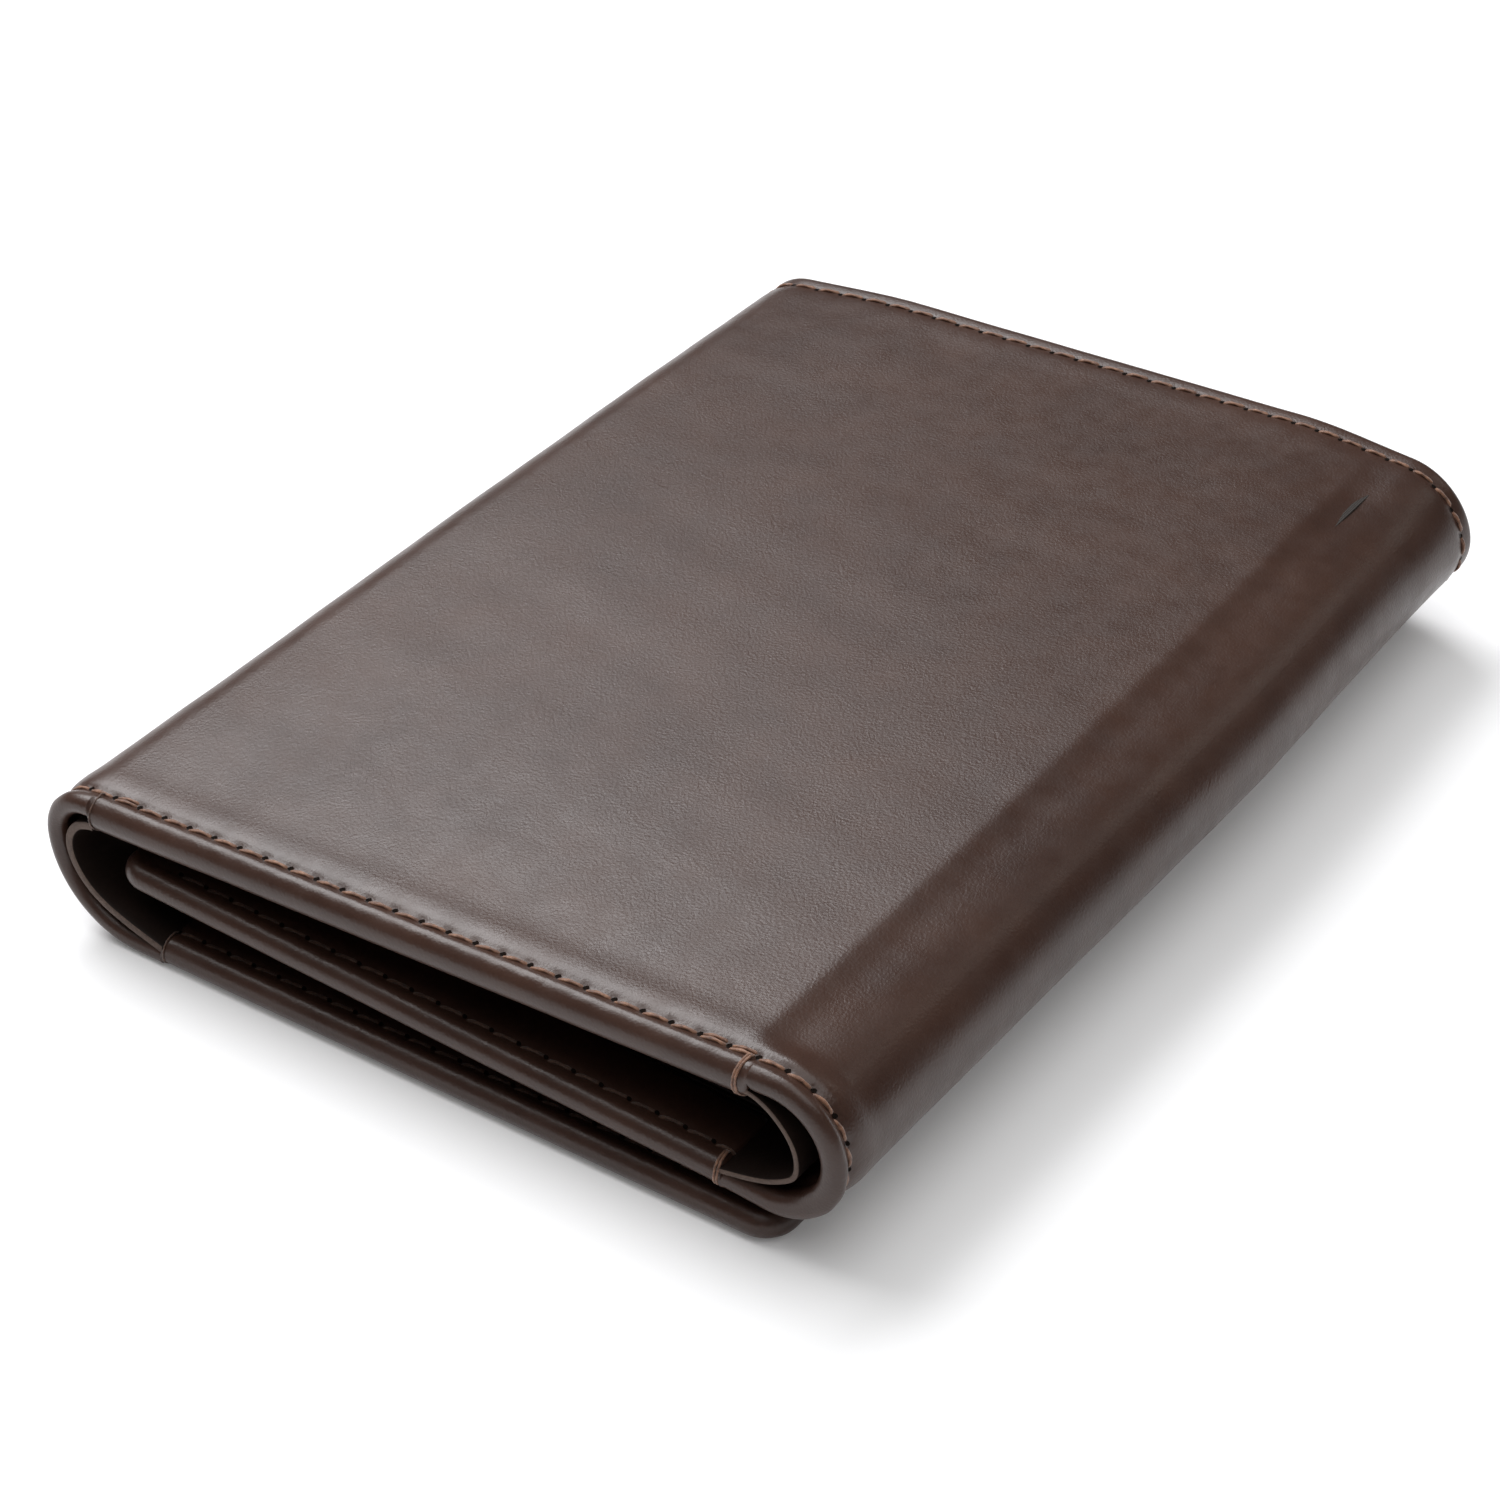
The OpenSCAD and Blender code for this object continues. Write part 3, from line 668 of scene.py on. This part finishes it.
def stitch(pile, s0, y0, s1, y1, inside=False, shift=0.0, radius=0.18, point=on_shell):
    """One stitch between two needle holes: it rises, leans across the seam and sinks again."""
    u = np.linspace(0.07, 0.95, 11)
    lean = jitter.uniform(0.14, 0.24)
    along = np.array([s1 - s0, y1 - y0])
    size = float(np.hypot(*along))
    across = np.array([along[1], -along[0]]) / size
    across = across * (-1 if inside else 1)
    slide = shift + lean * (1 - 1.5 * u)
    s = s0 + (s1 - s0) * u + across[0] * slide
    y = y0 + (y1 - y0) * u + across[1] * slide
    rise = np.minimum(np.sin(np.pi * np.clip(u, 0, 1)) ** 0.55, 1)
    lift = -0.3 + (0.3 + radius * jitter.uniform(0.5, 0.75)) * rise
    path, normal = point(s, y, lift, inside)
    verts, faces = tube(path, normal, radius * jitter.uniform(0.94, 1.06), twist=0.55)
    # Stitches on the inside face take the darker thread, as painted shade.
    pile.put(verts, faces, SHADE_PICK if inside else THREAD_PICK, verts)


def hole(pile, s, y, inside=False, point=on_shell):
    """A needle hole, longer along the seam's slant: a near-black disc just above the leather,
    painted shade for the hole's depth.
    """
    a = np.linspace(0, 2 * np.pi, 11)[:-1]
    turn = 0.6
    ds, dy = 0.27 * np.cos(a), 0.2 * np.sin(a)
    ring_s = s + ds * math.cos(turn) - dy * math.sin(turn)
    ring_y = y + ds * math.sin(turn) + dy * math.cos(turn)
    inward = 0.12 if y < 0 else -0.12
    ring, _ = point(np.append(ring_s, s) + 0.04, np.append(ring_y, y) + inward,
                    np.full(11, 0.09), inside)
    faces = [[k, (k + 1) % 10, 10] for k in range(10)]
    if inside:
        faces = [f[::-1] for f in faces]
    pile.put(ring, faces, HOLE_PICK, ring)


def seam_bodies(s):
    """Which piece of thread a stitch at s belongs to: a panel's name or a fold's number."""
    for body, a, b in PANELS:
        if a <= s <= b:
            return body
    for k, fold in enumerate(FOLDS):
        if fold[2] <= s <= fold[3]:
            return k
    return "inner_flap"


piles = {}


def pile_for(key):
    return piles.setdefault(key, Pile())


first = HOLE0 - PITCH * math.floor((HOLE0 - 4.6) / PITCH)
hole_list = np.arange(first, B6 - 4.4, PITCH)
for side in (-1, 1):
    y = side * (HALF - SEAM)
    for s0, s1 in zip(hole_list[:-1], hole_list[1:]):
        key = seam_bodies((s0 + s1) / 2)
        pile = pile_for(key)
        if side < 0:
            stitch(pile, s0, y, s1, y)
        else:
            stitch(pile, s1, y, s0, y)
        if isinstance(key, str) and side < 0:
            stitch(pile, s0, y, s1, y, inside=True, radius=0.15)
    for s0 in hole_list:
        key = seam_bodies(s0)
        hole(pile_for(key), s0, y)
        if isinstance(key, str) and side < 0:
            hole(pile_for(key), s0, y, inside=True)
    # The ends of the centre panel's seam are sewn twice.
    if side < 0:
        for at in (STEP_LEFT - 0.2, STEP_RIGHT - 2 * PITCH):
            near_holes = hole_list[(hole_list > at - 1.0) & (hole_list < at + 2.3 * PITCH)][:3]
            for s0, s1 in zip(near_holes[:-1], near_holes[1:]):
                if STEP_LEFT < (s0 + s1) / 2 < STEP_RIGHT:
                    stitch(pile_for("centre"), s0, y, s1, y, shift=-0.36, radius=0.15)

for body, q, flip in (("outer_flap", SEAM, -1), ("inner_flap", B6 - SEAM, 1)):
    ys = np.arange(-HALF + 4.6, HALF - 4.4, PITCH)
    for y0, y1 in zip(ys[:-1], ys[1:]):
        stitch(pile_for(body), q, y0 if flip > 0 else y1, q, y1 if flip > 0 else y0)
        if y1 < HALF - HEM_W:
            stitch(pile_for(body), q, y0, q, y1, inside=True, radius=0.15)
    for y0 in ys:
        hole(pile_for(body), q, y0)
        if y0 < HALF - HEM_W:
            hole(pile_for(body), q, y0, inside=True)
    # Round the free corners.
    for side in (-1, 1):
        s_from = 4.7 if body == "outer_flap" else B6 - 4.7
        stitch(pile_for(body), s_from, side * (HALF - SEAM), q, side * (HALF - 4.7))


def tack(pile, s, edge, lean, strands, radius):
    """Thread wrapped over the rolled edge at the end of a seam."""
    for k in range(strands):
        offset = (k - (strands - 1) / 2) * 0.26
        y = [SEAM, 1.7]
        t = [0.12, -0.12]
        for a in np.linspace(80, -80, 9):
            r = edge / 2 + 0.06
            y.append(edge / 2 - r * math.cos(math.radians(a)))
            t.append(edge / 2 - r * math.sin(math.radians(a)))
        y += [1.7, SEAM]
        t += [edge + 0.1, edge - 0.1]
        count = len(y)
        u = np.linspace(0, 1, count)
        spot = s + offset + lean * np.sin(np.pi * u) + 0.05 * np.sin(9 * u + k)
        path = place(spot, -HALF + np.array(y), np.array(t))
        if s < B1:
            path[:, 2] = np.maximum(path[:, 2], 0.16)
        cy = -HALF + edge / 2
        away = path - place(spot, np.full(count, cy), np.full(count, edge / 2))
        verts, faces = tube(path, away, radius, twist=0.5)
        pile.put(verts, faces, THREAD_PICK if radius > 0.1 else SHADE_PICK, verts)


TACKS = [("outer_flap", STEP_OUTER - 0.5, EDGE_OUTER, 0.1, 1, 0.08, "outer_flap_tack"),
         ("centre", STEP_LEFT + 0.45, EDGE_CENTRE, -0.1, 1, 0.08, "centre_left_tack"),
         ("centre", STEP_RIGHT - 0.8, EDGE_CENTRE, -0.35, 2, 0.125, "centre_right_tack"),
         ("inner_flap", STEP_INNER + 0.6, EDGE_INNER, -0.2, 2, 0.115, "inner_flap_tack")]
for body, s, edge, lean, strands, radius, node in TACKS:
    pile = Pile()
    tack(pile, s, edge, lean, strands, radius)
    piece = pile.make(node + "_thread")
    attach(piece, body)
    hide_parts(node)

SEAM_NODES = {"outer_flap": ["outer_flap_seam"], "centre": ["centre_near_seam", "centre_far_seam"],
              "inner_flap": ["inner_flap_seam"]}
gone = set()
for key, pile in sorted(piles.items(), key=lambda kv: str(kv[0])):
    if isinstance(key, str):
        piece = pile.make("%s_stitches" % key)
        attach(piece, key)
        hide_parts(*SEAM_NODES[key])
    else:
        one, two, a, b, start, end = FOLDS[key]
        piece = pile.make("fold_stitches_%d" % (key + 1))
        bend(piece, outside_point(start), outside_point(end))
        for body in (one, two):
            if body in STRIP_NODE and body not in gone:
                gone.add(body)
                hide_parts(STRIP_NODE[body] % "seam")


# ---------------------------------------------------------------- divider

def curve(points, gap=0.3):
    """A smooth line through points, sampled evenly."""
    p = np.array(points, float)
    p = np.concatenate([[2 * p[0] - p[1]], p, [2 * p[-1] - p[-2]]])
    out = []
    for i in range(1, len(p) - 2):
        for u in np.linspace(0, 1, 24, endpoint=False):
            a, b, c, d = p[i - 1:i + 3]
            out.append(0.5 * (2 * b + (c - a) * u + (2 * a - 5 * b + 4 * c - d) * u * u
                              + (3 * b - a - 3 * c + d) * u ** 3))
    out.append(p[-2])
    out = np.array(out)
    step = np.concatenate([[0], np.cumsum(np.linalg.norm(np.diff(out, axis=0), axis=1))])
    even = np.linspace(0, step[-1], int(step[-1] / gap) + 1)
    return np.stack([np.interp(even, step, out[:, k]) for k in (0, 1)], -1)


def ribbon(name, line, thick, y0, y1, s0):
    """A thin sheet along line, from y0 to y1, with a lighter cut edge."""
    run = np.gradient(line, axis=0)
    run /= np.linalg.norm(run, axis=1)[:, None]
    normal = np.stack([-run[:, 1], run[:, 0]], -1)
    rim = np.array([0, 0.06, 0.2, 0.6, 1.5])
    ys = np.concatenate([y0 + rim, np.linspace(y0 + 3, y1 - 3, 30), (y1 - rim)[::-1]])
    round_off = np.ones(len(ys))
    round_off[[0, 1, -2, -1]] = [0.72, 0.92, 0.92, 0.72]
    rows, cols = len(line), len(ys)
    along_line = s0 + np.arange(rows) * 0.3
    wave = 0.09 * ripple(along_line[:, None], ys[None, :], 7, 21)
    verts, rest = [], []
    for sign in (1, -1):
        off = normal[:, None, :] * (sign * thick / 2 * round_off[None, :, None] + wave[..., None])
        xz = line[:, None, :] + off
        x, y, z = np.broadcast_arrays(xz[..., 0], ys[None, :], xz[..., 1])
        verts.append(np.stack([x, y, z], -1).reshape(-1, 3))
        flat = np.broadcast_arrays(along_line[:, None], ys[None, :], sign * thick / 2)
        rest.append(np.stack(flat, -1).reshape(-1, 3))
    a = np.arange(rows * cols).reshape(rows, cols)
    b = a + rows * cols
    faces, picks = [], []
    for i in range(rows - 1):
        for j in range(cols - 1):
            faces.append([a[i, j], a[i, j + 1], a[i + 1, j + 1], a[i + 1, j]])
            faces.append([b[i, j], b[i + 1, j], b[i + 1, j + 1], b[i, j + 1]])
            picks += [0 if 0 < j < cols - 2 else 1] * 2
        for j, flip in ((0, 1), (cols - 1, 0)):
            f = [a[i, j], a[i + 1, j], b[i + 1, j], b[i, j]]
            faces.append(f if flip else f[::-1])
            picks.append(1)
    faces = [[int(v) for v in f] for f in faces]
    return new_object(name, np.concatenate(verts), faces, [SHADED_DIVIDER, RAW], picks,
                      np.concatenate(rest))


def turn_of(points, left):
    """Angle of each point round the fold it is in."""
    if left:
        cx = np.where(points[:, 1] < RB, BX, AX)
        return np.degrees(np.arctan2(points[:, 1] - RB, points[:, 0] - cx)) % 360
    return np.degrees(np.arctan2(points[:, 1] - RZ, points[:, 0] - RX))


# The divider's own line in each fold, x and z, from the flap or panel it leaves to the next.
left_line = curve([
    (-28.4, 1.75), (-30.3, 2.35), (-32.4, 3.0), (-34.4, 3.8), (-36.2, 5.0), (-37.5, 6.6),
    (-38.1, 8.3), (-37.95, 9.9), (-37.1, 11.2), (-36.0, 11.75), (-35.2, 11.9)])
right_line = curve([
    (31.2, 15.2), (32.6, 15.0), (34.1, 14.25), (35.5, 13.0), (36.4, 11.6), (36.75, 10.1),
    (36.6, 8.8), (35.8, 7.95), (34.2, 7.1), (32.4, 6.5), (30.8, 6.1), (29.0, 5.75)])
CUTS = [
    (left_line, True, [236.75, 199, 161.75, TOP + 32.75],
     ["outer_flap", "left_strip_4", "left_strip_3", "left_strip_2", "left_strip_1", "centre"]),
    (right_line, False, [TOP - SWEEP / 4, TOP - SWEEP / 2, TOP - SWEEP * 3 / 4],
     ["centre", "right_strip_1", "right_strip_2", "right_strip_3", "inner_flap"]),
]
gone = set()
number = 0
for line, left, angles, bodies in CUTS:
    turn = turn_of(line, left)
    at = [0]
    for angle in angles:
        at.append(int(np.argmin(np.abs(turn - angle))))
    at.append(len(line) - 1)
    for k in range(len(bodies) - 1):
        number += 1
        part = line[at[k]:at[k + 1] + 1]
        piece = ribbon("fold_divider_%d" % number, part, 0.8 if left else 0.5,
                       -HALF + 0.15, HALF - 4.0, 300 + 0.3 * at[k])
        ends_at = [np.array([p[0], 0.0, p[1]]) for p in (part[0], part[-1])]
        if k == 0:
            ends_at[0] = ends_at[1] + (ends_at[0] - ends_at[1]) * 0.75
        if k == len(bodies) - 2:
            ends_at[1] = ends_at[0] + (ends_at[1] - ends_at[0]) * 0.75
        bend(piece, ends_at[0], ends_at[1])
        for body in (bodies[k], bodies[k + 1]):
            if body in STRIP_NODE and body not in gone:
                gone.add(body)
                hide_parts(STRIP_NODE[body] % "divider")


# ---------------------------------------------------------------- sheets inside the panels

def hash_of(text):
    """A seed of its own for each leaf's ripple."""
    return sum((k + 1) * ord(c) for k, c in enumerate(text)) % 997


def sheet_piece(name, mat, s0, s1, y0, y1, t0, thick, bead=0.0, hole_box=None):
    """A leaf on a panel. The face seen from inside is at t0 + thick; its top edge may be turned."""
    ss = spread((s0, s0 + 1.2, 0.2), (s0 + 1.2, s1 - 1.2, 1.1), (s1 - 1.2, s1, 0.2))
    ys = spread((y0, y0 + 1.2, 0.2), (y0 + 1.2, y1 - 3.4, 1.6), (y1 - 3.4, y1, 0.2))
    if hole_box:
        ss = np.unique(np.concatenate([ss, hole_box[:2], [hole_box[0] - 0.5, hole_box[1] + 0.5]]))
        ys = np.unique(np.concatenate([ys, hole_box[2:], [hole_box[2] - 0.5, hole_box[3] + 0.5]]))
    gs, gy = np.meshgrid(ss, ys, indexing="ij")
    d_top = y1 - gy
    d = np.minimum(np.minimum(gs - s0, s1 - gs), np.minimum(gy - y0, d_top))
    if hole_box:
        out_s = np.maximum(hole_box[0] - gs, gs - hole_box[1])
        out_y = np.maximum(hole_box[2] - gy, gy - hole_box[3])
        d = np.minimum(d, np.maximum(out_s, out_y))
    d = np.maximum(d, 0)
    face = t0 + thick * (0.7 + 0.3 * np.sqrt(1 - (1 - np.clip(d / 0.4, 0, 1)) ** 2))
    face = face + bead * np.exp(-((d_top - 0.6) / 0.5) ** 2)
    face = face - bead * 0.6 * np.exp(-((d_top - 1.7) / 0.3) ** 2)
    face = face + 0.06 * smooth(0.5, 5, d) * ripple(gs, gy, 16, hash_of(name))
    back = np.full_like(gs, t0)
    rows, cols = gs.shape
    verts = np.concatenate([place(gs, gy, face).reshape(-1, 3), place(gs, gy, back).reshape(-1, 3)])
    rest = np.concatenate([np.stack([gs, gy, face], -1).reshape(-1, 3),
                           np.stack([gs, gy, back], -1).reshape(-1, 3)])
    a = np.arange(rows * cols).reshape(rows, cols)
    b = a + rows * cols
    cs, cy = (ss[1:] + ss[:-1]) / 2, (ys[1:] + ys[:-1]) / 2
    on = np.ones((rows - 1, cols - 1), bool)
    if hole_box:
        on &= ~((cs[:, None] > hole_box[0]) & (cs[:, None] < hole_box[1])
                & (cy[None, :] > hole_box[2]) & (cy[None, :] < hole_box[3]))
    faces = []

    def solid(i, j):
        return 0 <= i < rows - 1 and 0 <= j < cols - 1 and on[i, j]

    for i in range(rows - 1):
        for j in range(cols - 1):
            if not on[i, j]:
                continue
            faces.append([a[i, j], a[i, j + 1], a[i + 1, j + 1], a[i + 1, j]])
            faces.append([b[i, j], b[i + 1, j], b[i + 1, j + 1], b[i, j + 1]])
            if not solid(i - 1, j):
                faces.append([a[i, j], b[i, j], b[i, j + 1], a[i, j + 1]])
            if not solid(i + 1, j):
                faces.append([a[i + 1, j + 1], b[i + 1, j + 1], b[i + 1, j], a[i + 1, j]])
            if not solid(i, j - 1):
                faces.append([a[i + 1, j], b[i + 1, j], b[i, j], a[i, j]])
            if not solid(i, j + 1):
                faces.append([a[i, j + 1], b[i, j + 1], b[i + 1, j + 1], a[i + 1, j + 1]])
    faces = [[int(v) for v in f] for f in faces]
    return new_object(name, verts, faces, [mat], rest=rest)


FOOT = -HALF + HEM_W + 0.2
OUT0, OUT1 = B1 - (LEN_OUTER - HEM_W - 0.2), B1 - 3.0
MID0, MID1 = B3 + 1.4, B3 + LEN_CENTRE - 2.4
INN0, INN1 = B5 + 4.5, B5 + LEN_INNER - HEM_W - 0.2
LEAVES = []
for body, label, s0, s1, base in (("outer_flap", "outer", OUT0, OUT1, 1.88),
                                  ("centre", "centre", MID0, MID1, 2.45)):
    for level, word in enumerate(("back", "middle", "front")):
        LEAVES.append((body, "%s_card_pocket_%s" % (label, word), s0, s1, FOOT, 30 - 11 * level,
                       base + 0.02 + 0.42 * level, 0.4, 0.14, None))
LEAVES.append(("inner_flap", "inner_slip_pocket", INN0, INN1, FOOT, HALF - 12,
               1.7, 0.35, 0.12, None))
LEAVES.append(("inner_flap", "id_window_frame", INN0, INN1, FOOT, HALF - 20, 2.29, 0.4, 0.12,
               (B5 + 10.1, B5 + LEN_INNER - HEM_W - 6, FOOT + 7, HALF - 28)))
for body, node, s0, s1, y0, y1, t0, thick, bead, box in LEAVES:
    piece = sheet_piece(node + "_leather", PANEL, s0, s1, y0, y1, t0, thick, bead, box)
    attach(piece, body)
    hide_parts(node)

for body, node, s0, s1, t0, thick in (
        ("outer_flap", "outer_flap_divider", 1.2, B1 - 2.4, 1.5, 0.37),
        ("centre", "centre_divider", B3 + 0.7, B3 + LEN_CENTRE - 1.6, 1.95, 0.49),
        ("inner_flap", "inner_flap_divider", B5 + 3.7, B6 - 1.2, 1.35, 0.32)):
    piece = sheet_piece(node + "_sheet", SHADED_DIVIDER, s0, s1, -HALF + 1.2, HALF - 4, t0, thick, 0.1)
    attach(piece, body)
    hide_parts(node)


def pocket_rows(body, node, runs):
    """Side seams of the pockets: a row of stitches on each level of the leaves."""
    pile = Pile()
    for s, y0, y1, depth in runs:

        def point(ps, py, lift, inside, depth=depth):
            _, _, nx, nz = spine(ps)
            return place(ps, py, depth + lift), np.stack([-nx, 0 * nx, -nz], -1)

        count = max(1, int(round((y1 - y0) / PITCH)))
        ys = np.linspace(y0, y1, count + 1)
        for a, b in zip(ys[:-1], ys[1:]):
            stitch(pile, s, a, s, b, inside=True, radius=0.15, point=point)
        for a in ys:
            hole(pile, s, a, inside=True, point=point)
    piece = pile.make(node + "_stitches")
    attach(piece, body)
    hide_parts(node)


def levels(s, base):
    marks_y = [FOOT + 0.8, 8.0, 19.0, 30.0]
    return [(s, marks_y[k] + 0.5, marks_y[k + 1] - 0.9, base + 0.02 + 0.42 * (3 - k))
            for k in range(3)]


pocket_rows("outer_flap", "outer_pocket_seam", levels(B1 - 3.8, 1.88))
pocket_rows("centre", "centre_pocket_seam",
            levels(B3 + 4.0, 2.45) + levels(B3 + LEN_CENTRE - 5.0, 2.45))
pocket_rows("inner_flap", "inner_pocket_seam",
            [(B5 + 4.9, FOOT + 1, HALF - 21.5, 2.69)])

cloth = cloth_look()
for node in ("outer_flap_lining", "centre_lining", "inner_flap_lining"):
    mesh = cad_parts[node].data
    mesh.materials.clear()
    mesh.materials.append(cloth)
film = film_look()
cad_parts["id_window"].data.materials.clear()
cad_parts["id_window"].data.materials.append(film)


# ---------------------------------------------------------------- floor, light, camera

def floor():
    n = Nodes("glowing_paper_floor")
    raw = n.coords((1, 1, 1), own=True)
    n.link(n.ramp(n.noise(raw, 3.0, 2.0), [(0.3, (0.86, 0.86, 0.865)), (0.7, (0.9, 0.9, 0.905))]),
           n.bsdf.inputs["Base Color"])
    n.bsdf.inputs["Roughness"].default_value = 0.9
    n.bsdf.inputs["Specular IOR Level"].default_value = 0.1
    # The floor glows a little: painted light that lifts the shadows on it and lights the wallet's
    # low faces.
    n.bsdf.inputs["Emission Color"].default_value = (1, 1, 1, 1)
    n.bsdf.inputs["Emission Strength"].default_value = 0.12
    mesh = bpy.data.meshes.new("floor")
    r = 0.8
    mesh.from_pydata([(-r, -r, 0), (r, -r, 0), (r, r, 0), (-r, r, 0)], [], [(0, 1, 2, 3)])
    mesh.materials.append(n.mat)
    obj = bpy.data.objects.new("floor", mesh)
    bpy.context.scene.collection.objects.link(obj)
    obj.location.z = -0.0001


def area(name, place_at, aim, size, power, colour=(1, 1, 1)):
    data = bpy.data.lights.new(name, "AREA")
    data.shape = "RECTANGLE"
    data.size, data.size_y = size
    data.energy = power
    data.color = colour
    obj = bpy.data.objects.new(name, data)
    bpy.context.scene.collection.objects.link(obj)
    obj.location = place_at
    obj.rotation_euler = (Vector(aim) - Vector(place_at)).to_track_quat("-Z", "Y").to_euler()
    return obj


floor()
area("soft_back", (-0.69, 0.36, 0.93), (0, 0, 0), (0.85, 0.66), 13.3, (0.98, 0.985, 1))
area("soft_top", (0.2, -0.12, 1.2), (0, 0, 0), (1.3, 1.3), 9.8)
area("soft_left", (-0.64, -0.16, 0.86), (0, 0, 0), (0.4, 0.5), 2.6)
area("soft_right", (0.42, 0.95, 0.75), (0, 0, 0), (0.25, 0.3), 0.4, (1, 0.95, 0.88))
world = bpy.data.worlds.new("studio")
bpy.context.scene.world = world
world.use_nodes = True
# Dim light from all round, with a plain white backdrop behind the floor.
backdrop = world.node_tree.nodes["Background"]
seen = world.node_tree.nodes.new("ShaderNodeLightPath")
level = world.node_tree.nodes.new("ShaderNodeMapRange")
level.inputs["To Min"].default_value = 0.07
level.inputs["To Max"].default_value = 1.0
world.node_tree.links.new(seen.outputs["Is Camera Ray"], level.inputs["Value"])
world.node_tree.links.new(level.outputs[0], backdrop.inputs["Strength"])
backdrop.inputs["Color"].default_value = (1, 1, 1, 1)

# The camera's angles, focal length in pixels of a 1500 pixel frame, and distance in millimetres.
AZ, EL, FOCAL, DISTANCE = 34.945, 35.413, 4196.0, 373.7
aim = np.array([-3.3, -10.2, 7.3])
back = np.array([sind(AZ) * cosd(EL), -cosd(AZ) * cosd(EL), sind(EL)])
camera = bpy.data.cameras.new("camera")
camera.sensor_width = 36
camera.lens = 36 * FOCAL / 1500
camera.shift_x = 0.0274
camera.shift_y = -0.0062
camera.clip_start = 0.01
eye = bpy.data.objects.new("camera", camera)
bpy.context.scene.collection.objects.link(eye)
eye.location = Vector(tuple((aim + back * DISTANCE) * MM))
eye.rotation_euler = (-Vector(tuple(back))).to_track_quat("-Z", "Y").to_euler()
bpy.context.scene.camera = eye
bpy.context.scene.view_settings.view_transform = "Standard"
